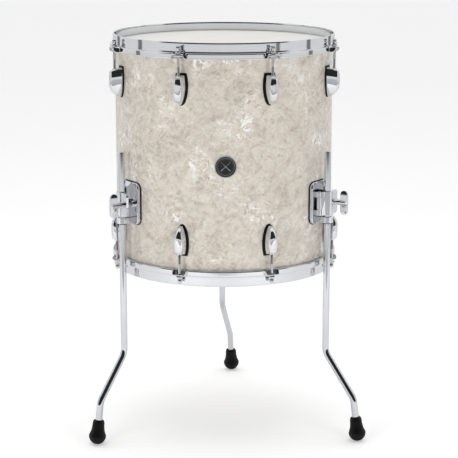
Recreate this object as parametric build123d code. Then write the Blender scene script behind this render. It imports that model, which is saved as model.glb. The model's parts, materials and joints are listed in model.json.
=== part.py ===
"""A 16 x 16 inch floor tom on three legs, millimetres, +Z up, front towards -Y.

Angles round the drum are azimuths: 0 at the front, growing towards +X. Each piece of hardware
is modelled on the +X side, with X outwards from the drum's axis, Y round the drum and Z up,
and is then turned to its azimuth. The origin ends under the middle of the whole drum's box.
"""
from build123d import *
import os
from math import asin, atan2, copysign, cos, degrees, hypot, pi, radians, sin, sqrt

# ---- shell and wrap ----
SHELL_DIAMETER = 406.4
SHELL_DEPTH = 406.4
SHELL_WALL = 7.0
SHELL_MID_HEIGHT = 527.3  # of the shell's middle above the floor
EDGE_OUTER_CUT = 2.0  # bearing edge: outside the peak; inside it is cut right across the wall
WRAP_THICKNESS = 0.5
WRAP_END_GAP = 3.5  # from the bearing edge to the end of the wrap

# ---- heads ----
FILM_THICKNESS = 0.3
FILM_GAP = 0.15  # between the wrap and the film's collar
FLESH_HOOP_WIDTH = 5.0
FLESH_HOOP_HEIGHT = 8.0

# ---- counter hoops ----
HOOP_METAL = 3.0
HOOP_HEIGHT = 29.1
HOOP_STEP_DEPTH = 18.3  # from the rim down to the top of the step
HOOP_OVERHANG = 16.7  # from the shell's end to the rim
HOOP_FILM_GAP = 0.2
HOOP_SKIRT_GAP = 0.6  # between the flesh hoop and the skirt
LUG_PAIRS = 8
FIRST_LUG_AZIMUTH = 22.5
EAR_REACH = 6.1  # beyond the rod's axis
EAR_ROOT_WIDTH = 30.0
EAR_TIP_WIDTH = 20.0
EAR_CORNER_RADIUS = 4.0
EAR_ARCH_WIDTH = 22.0

# ---- tension rods ----
ROD_DIAMETER = 5.5
ROD_STAND_OFF = 4.65  # of the rod's axis, from the hoop's skirt
ROD_HOLE_CLEARANCE = 0.6  # all round
ROD_COLLAR_DIAMETER = 10.0
ROD_COLLAR_HEIGHT = 3.0
ROD_HEAD_SQUARE = 6.3
ROD_HEAD_HEIGHT = 8.0
ROD_ENGAGEMENT = 29.0  # length of rod inside the lug
ROD_END_GAP = 1.0  # of the hole in the lug, beyond the rod's end
WASHER_DIAMETER = 11.6
WASHER_THICKNESS = 1.5

# ---- lugs ----
LUG_LENGTH = 54.0
LUG_WIDTH = 20.0
LUG_END_WIDTH = 14.5
LUG_BELLY = 34.0  # from the tip to the widest place
LUG_DEPTH = 18.6
LUG_END_SLOPE = 7.0
LUG_SPINE_START = 33.0  # from the tip to where the back of the teardrop begins to fall
LUG_FULLNESS = 0.75  # below 1 the tip is blunt
LUG_SQUARENESS = 2.6  # of the cross-section: 2 is an ellipse
LUG_STATIONS = [1.0, 4.0, 9.0, 16.0, 25.0, 34.0, 45.0, LUG_LENGTH]  # cross-sections, from the tip
LUG_FROM_END = 67.5  # of the lug's middle, from the shell's end
LUG_GASKET_THICKNESS = 2.0
LUG_GASKET_RIM = 1.2
NUT_DIAMETER = 9.5
NUT_LENGTH = 18.0
NUT_GAP = 0.3
NUT_TOP = 9.0  # from the lug's flat end to the nut
LUG_SCREW_SPREAD = 24.0
LUG_SCREW_LOW = 11.0  # from the lug's tip to its lower screw

# ---- screws through the shell ----
SCREW_DIAMETER = 4.8
SCREW_HEAD_DIAMETER = 9.5
SCREW_HEAD_HEIGHT = 2.6
SCREW_CLEARANCE = 0.2  # all round
SCREW_SEAT_GAP = 0.1
LUG_SCREW_DEPTH = 5.0  # into the lug
BRACKET_SCREW_DEPTH = 2.6  # into the bracket

# ---- badge ----
BADGE_DIAMETER = 39.6
BADGE_THICKNESS = 1.0
BADGE_RIM_WIDTH = 1.8
BADGE_RIM_HEIGHT = 0.5

# ---- legs and feet ----
LEG_DIAMETER = 12.7
LEG_STAND_OFF = 20.3  # of the leg's axis, from the wrap
LEG_SHOWING = 96.0  # above the bracket's middle
LEG_TIP_CHAMFER = 1.2
LEG_UPPER_BEND_HEIGHT = 160.0
LEG_LOWER_BEND_HEIGHT = 80.0
LEG_LOWER_BEND_REACH = 63.0
LEG_END_LEAN = 8.0
LEG_BEND_RADIUS = 30.0
LEG_AZIMUTHS = {"left": -57.25, "right": 57.25, "rear": 180.0}
LEG_TURNS = {"left": 13.8, "right": -4.0, "rear": -16.3}  # of the foot, from straight outwards
FOOT_DIAMETER = 32.0
FOOT_NECK_DIAMETER = 22.0
FOOT_SHOULDER = 2.6  # how much smaller the top of the neck is, all round
FOOT_SHOULDER_DROP = 5.0
FOOT_WAIST = 12.0  # from the ball's middle to where the neck begins to swell
FOOT_HEIGHT = 46.0
FOOT_FLAT_CUT = 0.5  # depth of the flat worn on the round bottom
FOOT_WALL = 9.0  # rubber below the end of the leg

# ---- leg brackets; radial sizes are from the leg's axis ----
BRACKET_FROM_END = 120.9  # of the bracket's middle, from the shell's lower end
PLATE_WIDTH = 60.0
PLATE_TALL = 78.0
PLATE_CORNER = 12.0
PLATE_FACE = -15.0
PLATE_EDGE = 2.0
BRACKET_GASKET_THICKNESS = 1.6
BRACKET_GASKET_RIM = 1.0
CRADLE_WIDTH = 16.0
CRADLE_FACE = -4.5
CRADLE_END_SLOPE = 9.0
LEG_CLEARANCE = 0.15
EYE_LOW = -37.0
EYE_TALL = 11.0
EYE_WALL = 3.0
BUSH_WALL = 1.3
BUSH_FLANGE = 1.6
BUSH_RUNNING_CLEARANCE = 0.05
GATE_TALL = 44.0
GATE_METAL = 4.5
GATE_LIP_PROUD = 0.2  # of the lip's face, beyond the leg
GATE_LIP_MARGIN = 11.5  # from the stud's axis to the lip's end
GATE_SWING = 8.0  # the most that the hump leaves room for
HINGE_BEYOND_HUMP = 6.0
HINGE_RADIAL = -8.0
PIN_DIAMETER = 4.0
PIN_CLEARANCE = 0.05
PIN_HEAD = 1.5
KNUCKLE_RADIUS = 4.6
KNUCKLE_TALL = 10.0
KNUCKLE_GAP = 0.3
STUD_DIAMETER = 6.0
STUD_BOSS_DIAMETER = 13.0
STUD_BOSS_FACE = -9.0
STUD_END = 27.0
STUD_SLOT_CLEARANCE = 0.5  # of the gate's slot, all round
STUD_SLOT_RUN = 2.6  # how far the slot reaches on, for the gate to swing
CLAMP_WASHER_DIAMETER = 12.4
CLAMP_WASHER_THICKNESS = 1.5
CLAMP_WASHER_GAP = 0.08  # from the gate's hump
WING_NECK_DIAMETER = 10.5
WING_SPAN = 45.0
WING_START = 20.0
WING_END = 34.0
WING_MIDDLE_THICKNESS = 7.0
WING_TIP_THICKNESS = 3.6
WING_THREAD_CLEARANCE = 0.05
BRACKET_SCREW_WIDE = 42.0
BRACKET_SCREW_TALL = 58.0

# ---- worked out ----
SHELL_RADIUS = SHELL_DIAMETER / 2
SHELL_INSIDE = SHELL_RADIUS - SHELL_WALL
WRAP_RADIUS = SHELL_RADIUS + WRAP_THICKNESS
SHELL_TOP = SHELL_MID_HEIGHT + SHELL_DEPTH / 2
SHELL_BOTTOM = SHELL_MID_HEIGHT - SHELL_DEPTH / 2
COLLAR_INSIDE = WRAP_RADIUS + FILM_GAP
COLLAR_OUTSIDE = COLLAR_INSIDE + FILM_THICKNESS
HOOP_INSIDE = COLLAR_OUTSIDE + HOOP_FILM_GAP
HOOP_RIM = SHELL_TOP + HOOP_OVERHANG
HOOP_STEP = HOOP_RIM - HOOP_STEP_DEPTH
HOOP_SEAT = HOOP_STEP - HOOP_METAL
SKIRT_INSIDE = COLLAR_OUTSIDE + FLESH_HOOP_WIDTH + HOOP_SKIRT_GAP
SKIRT_OUTSIDE = SKIRT_INSIDE + HOOP_METAL
ROD_CIRCLE_RADIUS = SKIRT_OUTSIDE + ROD_STAND_OFF
LUG_AZIMUTHS = [FIRST_LUG_AZIMUTH + n * 360 / LUG_PAIRS for n in range(LUG_PAIRS)]
LUG_TIP = SHELL_TOP - LUG_FROM_END - LUG_LENGTH / 2
LUG_SEAT = WRAP_RADIUS + LUG_GASKET_THICKNESS
LUG_SCREW_HEIGHTS = [LUG_TIP + LUG_SCREW_LOW, LUG_TIP + LUG_SCREW_LOW + LUG_SCREW_SPREAD]
LEG_RADIUS = LEG_DIAMETER / 2
LEG_SLEEVE = LEG_RADIUS + LEG_CLEARANCE
LEG_CIRCLE_RADIUS = WRAP_RADIUS + LEG_STAND_OFF
BRACKET_HEIGHT = SHELL_BOTTOM + BRACKET_FROM_END
LEG_TOP_HEIGHT = BRACKET_HEIGHT + LEG_SHOWING
HUMP_RADIUS = LEG_SLEEVE + GATE_METAL
HINGE_OFFSET = -HUMP_RADIUS - HINGE_BEYOND_HUMP
GATE_LIP_FACE = LEG_SLEEVE + GATE_LIP_PROUD
HUMP_EDGE = sqrt(HUMP_RADIUS**2 - GATE_LIP_FACE**2)  # where the hump comes out of the lip
STUD_OFFSET = HUMP_EDGE + CLAMP_WASHER_GAP + CLAMP_WASHER_DIAMETER / 2
GATE_LIP_END = STUD_OFFSET + GATE_LIP_MARGIN
BRACKET_GASKET_FACE = WRAP_RADIUS + BRACKET_GASKET_THICKNESS
BRACKET_SCREW_SWING = degrees(asin(BRACKET_SCREW_WIDE / 2 / BRACKET_GASKET_FACE))
WASHER_FACE = GATE_LIP_FACE + CLAMP_WASHER_THICKNESS
STUD_HEIGHT = BRACKET_HEIGHT


# ---- helpers ----
def turn_to(azimuth, shape):
    """Turns a piece made on the +X side to its azimuth round the drum."""
    return Rot(0, 0, azimuth - 90) * shape


def below(shape):
    """The same piece at the lower end of the shell."""
    return mirror(shape, about=Plane.XY.offset(SHELL_MID_HEIGHT))


def ring(*outline):
    """A closed outline of (radius, height) points, revolved about the drum's axis."""
    return revolve(Plane.XZ * make_face(Polyline(*outline, close=True)), Axis.Z)


def radial_rod(diameter, start, end, height=0.0, offset_y=0.0):
    """A round bar along X from one radius to another."""
    middle = (start + end) / 2
    return Pos(middle, offset_y, height) * Rot(0, 90, 0) * Cylinder(diameter / 2, end - start)


def outward(start, height=0.0, offset_y=0.0):
    """A plane that faces outwards, with its own x round the drum and its own y up."""
    return Plane(origin=(start, offset_y, height), x_dir=(0, 1, 0), z_dir=(1, 0, 0))


def upright(radius, low, high, x=0.0, y=0.0):
    """A vertical cylinder between two heights."""
    return Pos(x, y, (low + high) / 2) * Cylinder(radius, high - low)


def block(x0, x1, y0, y1, z0, z1):
    """A block between two corners."""
    return Pos((x0 + x1) / 2, (y0 + y1) / 2, (z0 + z1) / 2) * Box(x1 - x0, y1 - y0, z1 - z0)


def screw_hole(height, reach):
    """The clearance hole of a screw through the shell, along X."""
    diameter = SCREW_DIAMETER + 2 * SCREW_CLEARANCE
    return radial_rod(diameter, SHELL_INSIDE - SHELL_WALL, reach, height)


def screw(height, reach):
    """A pan-head screw, driven outwards from inside the shell."""
    seat = SHELL_INSIDE - SCREW_SEAT_GAP
    shank = radial_rod(SCREW_DIAMETER, seat, reach, height)
    head = radial_rod(SCREW_HEAD_DIAMETER, seat - SCREW_HEAD_HEIGHT, seat, height)
    return shank + chamfer(head.edges().sort_by(Axis.X)[0], SCREW_HEAD_HEIGHT / 3)


def lug_screws_of(make, reach):
    """A screw or hole at each of the lugs' fixing places, above and below."""
    upper = [turn_to(a, make(h, reach)) for a in LUG_AZIMUTHS for h in LUG_SCREW_HEIGHTS]
    return upper + [below(one) for one in upper]


def bracket_screws_of(make, reach):
    """A screw or hole at each corner of the three brackets."""
    heights = [BRACKET_HEIGHT - BRACKET_SCREW_TALL / 2, BRACKET_HEIGHT + BRACKET_SCREW_TALL / 2]
    swings = [-BRACKET_SCREW_SWING, BRACKET_SCREW_SWING]
    return [
        turn_to(a + s, make(h, reach)) for a in LEG_AZIMUTHS.values() for s in swings for h in heights
    ]


def shell_holes(reach):
    return lug_screws_of(screw_hole, reach) + bracket_screws_of(screw_hole, reach)


# ---- shell, wrap and badge ----
def shell():
    peak = SHELL_RADIUS - EDGE_OUTER_CUT
    inner_drop = SHELL_WALL - EDGE_OUTER_CUT
    top = [
        (SHELL_RADIUS, SHELL_TOP - EDGE_OUTER_CUT),
        (peak, SHELL_TOP),
        (SHELL_INSIDE, SHELL_TOP - inner_drop),
    ]
    bottom = [(r, 2 * SHELL_MID_HEIGHT - z) for r, z in reversed(top)]
    return ring(*top, *bottom) - shell_holes(SHELL_RADIUS + SHELL_WALL)


def pearl_wrap():
    low, high = SHELL_BOTTOM + WRAP_END_GAP, SHELL_TOP - WRAP_END_GAP
    sleeve = ring((SHELL_RADIUS, low), (WRAP_RADIUS, low), (WRAP_RADIUS, high), (SHELL_RADIUS, high))
    return sleeve - shell_holes(SHELL_RADIUS + SHELL_WALL)


def badge():
    """A round plate bent to the shell, with a raised rim."""
    def bent_disc(diameter, inside, outside):
        skin = Cylinder(outside, 2 * diameter) - Cylinder(inside, 3 * diameter)
        disc = radial_rod(diameter, WRAP_RADIUS / 2, WRAP_RADIUS * 2)
        return skin & disc

    face = WRAP_RADIUS + BADGE_THICKNESS
    plate = bent_disc(BADGE_DIAMETER, WRAP_RADIUS, face)
    rim = bent_disc(BADGE_DIAMETER, face, face + BADGE_RIM_HEIGHT)
    rim -= radial_rod(BADGE_DIAMETER - 2 * BADGE_RIM_WIDTH, WRAP_RADIUS / 2, WRAP_RADIUS * 2)
    return turn_to(0, Pos(0, 0, SHELL_MID_HEIGHT) * (plate + rim))


# ---- heads ----
def head_film():
    """A flat film over the bearing edge, with a collar down to its flesh hoop."""
    peak = SHELL_RADIUS - EDGE_OUTER_CUT
    drop = COLLAR_INSIDE - peak
    foot = HOOP_SEAT - FLESH_HOOP_HEIGHT
    return ring(
        (0, SHELL_TOP),
        (peak, SHELL_TOP),
        (COLLAR_INSIDE, SHELL_TOP - drop),
        (COLLAR_INSIDE, foot),
        (COLLAR_OUTSIDE, foot),
        (COLLAR_OUTSIDE, SHELL_TOP - drop + FILM_THICKNESS),
        (peak + FILM_THICKNESS, SHELL_TOP + FILM_THICKNESS),
        (0, SHELL_TOP + FILM_THICKNESS),
    )


def flesh_hoop():
    """The aluminium channel that the film is set in."""
    low, outside = HOOP_SEAT - FLESH_HOOP_HEIGHT, COLLAR_OUTSIDE + FLESH_HOOP_WIDTH
    return ring(
        (COLLAR_OUTSIDE, low),
        (outside - 1, low),
        (outside, low + 1),
        (outside, HOOP_SEAT),
        (COLLAR_OUTSIDE, HOOP_SEAT),
    )


# ---- counter hoops ----
def counter_hoop():
    """A pressed steel hoop: rim wall, step and skirt, with eight ears for the rods."""
    wall = HOOP_INSIDE + HOOP_METAL
    low = HOOP_RIM - HOOP_HEIGHT
    hoop = ring(
        (HOOP_INSIDE, HOOP_SEAT),
        (SKIRT_INSIDE, HOOP_SEAT),
        (SKIRT_INSIDE, low),
        (SKIRT_OUTSIDE, low),
        (SKIRT_OUTSIDE, HOOP_STEP - 1),
        (SKIRT_OUTSIDE - 1, HOOP_STEP),
        (wall, HOOP_STEP),
        (wall, HOOP_RIM - 1),
        (wall - 1, HOOP_RIM),
        (HOOP_INSIDE + 1, HOOP_RIM),
        (HOOP_INSIDE, HOOP_RIM - 1),
    )
    tip = ROD_CIRCLE_RADIUS + EAR_REACH
    root = SKIRT_INSIDE
    plan = make_face(
        Polyline(
            (root, -EAR_ROOT_WIDTH / 2),
            (SKIRT_OUTSIDE, -EAR_ROOT_WIDTH / 2),
            (tip, -EAR_TIP_WIDTH / 2),
            (tip, EAR_TIP_WIDTH / 2),
            (SKIRT_OUTSIDE, EAR_ROOT_WIDTH / 2),
            (root, EAR_ROOT_WIDTH / 2),
            close=True,
        )
    )
    corners = plan.vertices().sort_by(Axis.X)[-2:]
    plan = fillet(corners, EAR_CORNER_RADIUS)
    ear = Pos(0, 0, HOOP_SEAT) * extrude(plan, amount=HOOP_METAL)
    arch = extrude(
        outward(SKIRT_INSIDE - 0.3, low)
        * make_face(
            Polyline(
                (-EAR_ROOT_WIDTH / 2, 0),
                (EAR_ROOT_WIDTH / 2, 0),
                (EAR_ARCH_WIDTH / 2, HOOP_SEAT - low),
                (-EAR_ARCH_WIDTH / 2, HOOP_SEAT - low),
                close=True,
            )
        ),
        amount=2 * HOOP_METAL,
    )
    hole = upright(
        ROD_DIAMETER / 2 + ROD_HOLE_CLEARANCE, low, HOOP_RIM, x=ROD_CIRCLE_RADIUS
    )
    hoop -= [turn_to(a, arch) for a in LUG_AZIMUTHS]
    hoop += [turn_to(a, ear) for a in LUG_AZIMUTHS]
    return hoop - [turn_to(a, hole) for a in LUG_AZIMUTHS]


def tension_rod():
    """A key rod: square head and collar above the washer, threaded shank down into the lug."""
    seat = HOOP_STEP + WASHER_THICKNESS
    top = seat + ROD_COLLAR_HEIGHT + ROD_HEAD_HEIGHT
    x = ROD_CIRCLE_RADIUS
    collar = upright(ROD_COLLAR_DIAMETER / 2, seat, seat + ROD_COLLAR_HEIGHT, x=x)
    collar = chamfer(collar.edges().sort_by(Axis.Z)[-1], 1)
    half = ROD_HEAD_SQUARE / 2
    head = block(x - half, x + half, -half, half, seat + ROD_COLLAR_HEIGHT, top)
    head = chamfer(head.faces().sort_by(Axis.Z)[-1].edges(), 0.8)
    end = LUG_TIP + LUG_LENGTH - ROD_ENGAGEMENT
    return collar + head + upright(ROD_DIAMETER / 2, end, seat, x=x)


def rod_washer():
    disc = upright(WASHER_DIAMETER / 2, HOOP_STEP, HOOP_STEP + WASHER_THICKNESS, x=ROD_CIRCLE_RADIUS)
    bore = upright(
        ROD_DIAMETER / 2 + ROD_HOLE_CLEARANCE / 2, HOOP_SEAT, HOOP_RIM, x=ROD_CIRCLE_RADIUS
    )
    return disc - bore


# ---- lugs ----
def lug_half_width(along):
    """Half the width of the teardrop at a distance from its tip."""
    if along < LUG_BELLY:
        return LUG_WIDTH / 2 * sin(pi / 2 * along / LUG_BELLY) ** LUG_FULLNESS
    narrowing = ((along - LUG_BELLY) / (LUG_LENGTH - LUG_BELLY)) ** 2
    return LUG_WIDTH / 2 - (LUG_WIDTH - LUG_END_WIDTH) / 2 * narrowing


def lug_section(along):
    """The cross-section at a distance from the tip: flat on its gasket, full and round in front."""
    half = lug_half_width(along)
    depth = LUG_DEPTH * sin(pi / 2 * min(along / LUG_SPINE_START, 1))
    rounding = 2 / LUG_SQUARENESS
    front = []
    for step in range(1, 8):
        turn = pi * step / 8
        across = copysign(half * abs(cos(turn)) ** rounding, cos(turn))
        front.append((across, depth * sin(turn) ** rounding))
    middle = front[len(front) // 2][1]
    front[len(front) // 2] = (0, middle)
    curve = Spline((half, 0), *front, (-half, 0), tangents=[(0, 1), (0, -1)])
    place = Plane(origin=(LUG_SEAT, 0, LUG_TIP + along), x_dir=(0, -1, 0), z_dir=(0, 0, 1))
    return place * make_face(curve + Line((-half, 0), (half, 0)))


def lug():
    """A hollow die-cast teardrop with a sloped end, open at the back for its swivel nut."""
    x, rod = LUG_SEAT, ROD_CIRCLE_RADIUS
    end = LUG_TIP + LUG_LENGTH
    body = loft([lug_section(along) for along in LUG_STATIONS])
    side = make_face(
        Polyline(
            (x, LUG_TIP),
            (x, end),
            (x + LUG_DEPTH, end - LUG_END_SLOPE),
            (x + 2 * LUG_DEPTH, end - 2 * LUG_END_SLOPE),
            (x + 2 * LUG_DEPTH, LUG_TIP),
            close=True,
        )
    )
    body &= extrude(Plane.XZ * side, amount=LUG_WIDTH, both=True)
    pocket_top = end - NUT_TOP
    pocket_low = pocket_top - NUT_LENGTH - 2 * NUT_GAP
    half = NUT_DIAMETER / 2 + NUT_GAP
    body -= block(x - 1, rod, -half, half, pocket_low, pocket_top)
    body -= upright(half, pocket_low, pocket_top, x=rod)
    body -= upright(ROD_DIAMETER / 2 + ROD_HOLE_CLEARANCE, end - ROD_ENGAGEMENT - ROD_END_GAP, end + 1, x=rod)
    for height in LUG_SCREW_HEIGHTS:
        body -= radial_rod(SCREW_DIAMETER, x - 1, x + LUG_SCREW_DEPTH, height)
    return body


def lug_gasket():
    """A black pad with the teardrop's outline and a narrow rim all round."""
    rim = LUG_GASKET_RIM
    right = [(lug_half_width(along) + rim, along) for along in LUG_STATIONS]
    left = [(-across, along) for across, along in reversed(right)]
    corner, opposite = right[-1][0], LUG_LENGTH + rim
    pad = make_face(
        Spline(*left, (0, LUG_STATIONS[0] - rim), *right)
        + Polyline(right[-1], (corner, opposite), (-corner, opposite), left[0])
    )
    body = extrude(outward(SHELL_RADIUS - SHELL_WALL, LUG_TIP) * pad, amount=SHELL_WALL + 20)
    body &= block(WRAP_RADIUS / 2, LUG_SEAT, -LUG_WIDTH, LUG_WIDTH, 0, 2 * SHELL_TOP)
    body -= Pos(0, 0, SHELL_MID_HEIGHT) * Cylinder(WRAP_RADIUS, SHELL_DEPTH)
    for height in LUG_SCREW_HEIGHTS:
        body -= screw_hole(height, LUG_SEAT + 1)
    return body


def swivel_nut():
    top = LUG_TIP + LUG_LENGTH - NUT_TOP - NUT_GAP
    body = upright(NUT_DIAMETER / 2, top - NUT_LENGTH, top, x=ROD_CIRCLE_RADIUS)
    return body - upright(ROD_DIAMETER / 2 + 0.05, top - 2 * NUT_LENGTH, top + 1, x=ROD_CIRCLE_RADIUS)


# ---- leg brackets, made with the leg's axis at LEG_CIRCLE_RADIUS on the +X side ----
def from_leg(x):
    """A radius measured from the leg's axis, as one from the drum's axis."""
    return LEG_CIRCLE_RADIUS + x


def bracket_gasket():
    pad = RectangleRounded(
        PLATE_WIDTH + 2 * BRACKET_GASKET_RIM,
        PLATE_TALL + 2 * BRACKET_GASKET_RIM,
        PLATE_CORNER + BRACKET_GASKET_RIM,
    )
    body = extrude(outward(WRAP_RADIUS / 2, BRACKET_HEIGHT) * pad, amount=WRAP_RADIUS)
    skin = Cylinder(BRACKET_GASKET_FACE, 2 * PLATE_TALL) - Cylinder(WRAP_RADIUS, 3 * PLATE_TALL)
    return body & (Pos(0, 0, BRACKET_HEIGHT) * skin)


def bracket_base():
    """The cast base: a plate bent to the shell, a cradle for the leg, an eye and two knuckles."""
    mid = BRACKET_HEIGHT
    face = from_leg(PLATE_FACE)
    plan = RectangleRounded(PLATE_WIDTH, PLATE_TALL, PLATE_CORNER)
    plate = extrude(outward(WRAP_RADIUS / 2, mid) * plan, amount=face - WRAP_RADIUS / 2)
    plate = fillet(plate.faces().sort_by(Axis.X)[-1].edges(), PLATE_EDGE)
    low, high = mid - PLATE_TALL / 2, mid + PLATE_TALL / 2
    side = make_face(
        Polyline(
            (face - 2, low),
            (face, low),
            (from_leg(CRADLE_FACE), low + CRADLE_END_SLOPE),
            (from_leg(CRADLE_FACE), high - CRADLE_END_SLOPE),
            (face, high),
            (face - 2, high),
            close=True,
        )
    )
    cradle = extrude(Plane.XZ * side, amount=CRADLE_WIDTH / 2, both=True)
    bush_outside = LEG_SLEEVE + BUSH_WALL
    eye_bore = bush_outside + BUSH_RUNNING_CLEARANCE
    eye_radius = eye_bore + EYE_WALL
    eye_low = mid + EYE_LOW
    eye = upright(eye_radius, eye_low, eye_low + EYE_TALL, x=LEG_CIRCLE_RADIUS)
    eye += block(face - 1, LEG_CIRCLE_RADIUS, -eye_radius, eye_radius, eye_low, eye_low + EYE_TALL)
    pin_x = from_leg(HINGE_RADIAL)
    knuckles = []
    for z0 in (mid - GATE_TALL / 2, mid + GATE_TALL / 2 - KNUCKLE_TALL):
        barrel = upright(KNUCKLE_RADIUS, z0, z0 + KNUCKLE_TALL, x=pin_x, y=HINGE_OFFSET)
        web = block(
            face - 1, pin_x, HINGE_OFFSET - KNUCKLE_RADIUS, HINGE_OFFSET + KNUCKLE_RADIUS,
            z0, z0 + KNUCKLE_TALL,
        )
        knuckles.append(barrel + web)
    boss = radial_rod(STUD_BOSS_DIAMETER, face - 1, from_leg(STUD_BOSS_FACE), STUD_HEIGHT, STUD_OFFSET)
    body = plate + cradle + eye + knuckles + boss
    body -= Pos(0, 0, mid) * Cylinder(BRACKET_GASKET_FACE, 2 * PLATE_TALL)
    body -= upright(LEG_SLEEVE, 0, 2 * mid, x=LEG_CIRCLE_RADIUS)
    body -= upright(eye_bore, eye_low - 1, eye_low + EYE_TALL + BUSH_FLANGE, x=LEG_CIRCLE_RADIUS)
    body -= upright(PIN_DIAMETER / 2, low, high, x=pin_x, y=HINGE_OFFSET)
    body -= radial_rod(STUD_DIAMETER, face - 1, from_leg(STUD_BOSS_FACE) + 1, STUD_HEIGHT, STUD_OFFSET)
    depth = BRACKET_GASKET_FACE + BRACKET_SCREW_DEPTH
    for height in (mid - BRACKET_SCREW_TALL / 2, mid + BRACKET_SCREW_TALL / 2):
        for swing in (-BRACKET_SCREW_SWING, BRACKET_SCREW_SWING):
            body -= Rot(0, 0, swing) * radial_rod(SCREW_DIAMETER, WRAP_RADIUS, depth, height)
    return body


def leg_room_in_gate():
    """What the leg sweeps, seen from the gate, while the gate swings open about its pin."""
    travel = 2 * hypot(HINGE_RADIAL, HINGE_OFFSET) * sin(radians(GATE_SWING) / 2)
    heading = degrees(atan2(-HINGE_OFFSET, -HINGE_RADIAL)) + 90 + GATE_SWING / 2
    return Rot(0, 0, heading) * Pos(travel / 2, 0) * SlotCenterToCenter(travel, 2 * LEG_SLEEVE)


def gate():
    """The hinged clamp gate: knuckle, arm, a hump over the leg and a lip for the stud."""
    mid = BRACKET_HEIGHT
    low, high = mid - GATE_TALL / 2, mid + GATE_TALL / 2
    pin_x = from_leg(HINGE_RADIAL)
    hump = Circle(HUMP_RADIUS) & (Pos(HUMP_RADIUS, 0) * Rectangle(2 * HUMP_RADIUS, 2 * HUMP_RADIUS))
    lip = Pos(GATE_LIP_FACE - GATE_METAL / 2, GATE_LIP_END / 2) * Rectangle(GATE_METAL, GATE_LIP_END)
    reach = (LEG_SLEEVE + HUMP_RADIUS) / 2
    arm_middle = (HINGE_RADIAL / 2, (HINGE_OFFSET - reach) / 2)
    arm_length = hypot(HINGE_RADIAL, HINGE_OFFSET + reach)
    arm_angle = degrees(atan2(-reach - HINGE_OFFSET, -HINGE_RADIAL))
    arm = Pos(*arm_middle) * Rot(0, 0, arm_angle) * Rectangle(arm_length, GATE_METAL)
    plan = hump + lip + arm + Pos(0, -reach) * Circle(GATE_METAL / 2)
    plan -= leg_room_in_gate()
    body = Pos(LEG_CIRCLE_RADIUS, 0, low) * extrude(plan, amount=GATE_TALL)
    lip_end = body.edges().filter_by(Axis.X).sort_by(Axis.Y)[-2:]
    body = fillet(lip_end, GATE_METAL * 1.6)
    clear = KNUCKLE_RADIUS + KNUCKLE_GAP
    knuckle_low, knuckle_high = low + KNUCKLE_TALL + KNUCKLE_GAP, high - KNUCKLE_TALL - KNUCKLE_GAP
    for z0, z1 in ((low - 1, knuckle_low), (knuckle_high, high + 1)):
        body -= upright(clear, z0, z1, x=pin_x, y=HINGE_OFFSET)
    body += upright(KNUCKLE_RADIUS, knuckle_low, knuckle_high, x=pin_x, y=HINGE_OFFSET)
    body -= upright(PIN_DIAMETER / 2 + PIN_CLEARANCE, low, high, x=pin_x, y=HINGE_OFFSET)
    slot_width = STUD_DIAMETER + 2 * STUD_SLOT_CLEARANCE
    slot = SlotCenterToCenter(STUD_SLOT_RUN, slot_width)
    slot_place = outward(LEG_CIRCLE_RADIUS, STUD_HEIGHT, STUD_OFFSET + STUD_SLOT_RUN / 2)
    return body - extrude(slot_place * slot, amount=WING_END)


def hinge_pin():
    half = GATE_TALL / 2
    x = from_leg(HINGE_RADIAL)
    shank = upright(PIN_DIAMETER / 2, BRACKET_HEIGHT - half, BRACKET_HEIGHT + half, x=x, y=HINGE_OFFSET)
    top = BRACKET_HEIGHT + half
    head = upright(PIN_DIAMETER * 0.8, top, top + PIN_HEAD, x=x, y=HINGE_OFFSET)
    return shank + fillet(head.edges().sort_by(Axis.Z)[-1], PIN_HEAD / 2)


def clamp_stud():
    face = from_leg(PLATE_FACE)
    return radial_rod(STUD_DIAMETER, face - 1, from_leg(STUD_END), STUD_HEIGHT, STUD_OFFSET)


def clamp_washer():
    start, end = from_leg(GATE_LIP_FACE), from_leg(WASHER_FACE)
    disc = radial_rod(CLAMP_WASHER_DIAMETER, start, end, STUD_HEIGHT, STUD_OFFSET)
    bore = STUD_DIAMETER + 0.2
    return disc - radial_rod(bore, start - 1, end + 1, STUD_HEIGHT, STUD_OFFSET)


def wing_nut():
    """A wing nut with two lens-shaped ears on a round neck."""
    start, end = from_leg(WING_START), from_leg(WING_END)
    ear_radius = (WING_END - WING_START) / 2
    ear_spread = WING_SPAN / 2 - ear_radius
    rounds = [Pos(0, side * ear_spread) * Circle(ear_radius) for side in (1, -1)]
    outline = make_hull(rounds[0].edges() + rounds[1].edges())
    across = Plane(origin=((start + end) / 2, 0, 0), x_dir=(1, 0, 0), z_dir=(0, -1, 0))
    ears = extrude(across * outline, amount=WING_MIDDLE_THICKNESS, both=True)
    half = WING_SPAN / 2
    lens = make_face(
        ThreePointArc((WING_TIP_THICKNESS / 2, -half), (WING_MIDDLE_THICKNESS / 2, 0),
                      (WING_TIP_THICKNESS / 2, half))
        + Line((WING_TIP_THICKNESS / 2, half), (-WING_TIP_THICKNESS / 2, half))
        + ThreePointArc((-WING_TIP_THICKNESS / 2, half), (-WING_MIDDLE_THICKNESS / 2, 0),
                        (-WING_TIP_THICKNESS / 2, -half))
        + Line((-WING_TIP_THICKNESS / 2, -half), (WING_TIP_THICKNESS / 2, -half))
    )
    ears &= extrude(outward(start - 1) * lens, amount=WING_END)
    neck = radial_rod(WING_NECK_DIAMETER, from_leg(WASHER_FACE), end - ear_radius / 2)
    body = ears + neck
    bore = STUD_DIAMETER / 2 + WING_THREAD_CLEARANCE
    body -= radial_rod(2 * bore, from_leg(0), from_leg(STUD_END) + 1)
    return Pos(0, STUD_OFFSET, STUD_HEIGHT) * body


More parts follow.
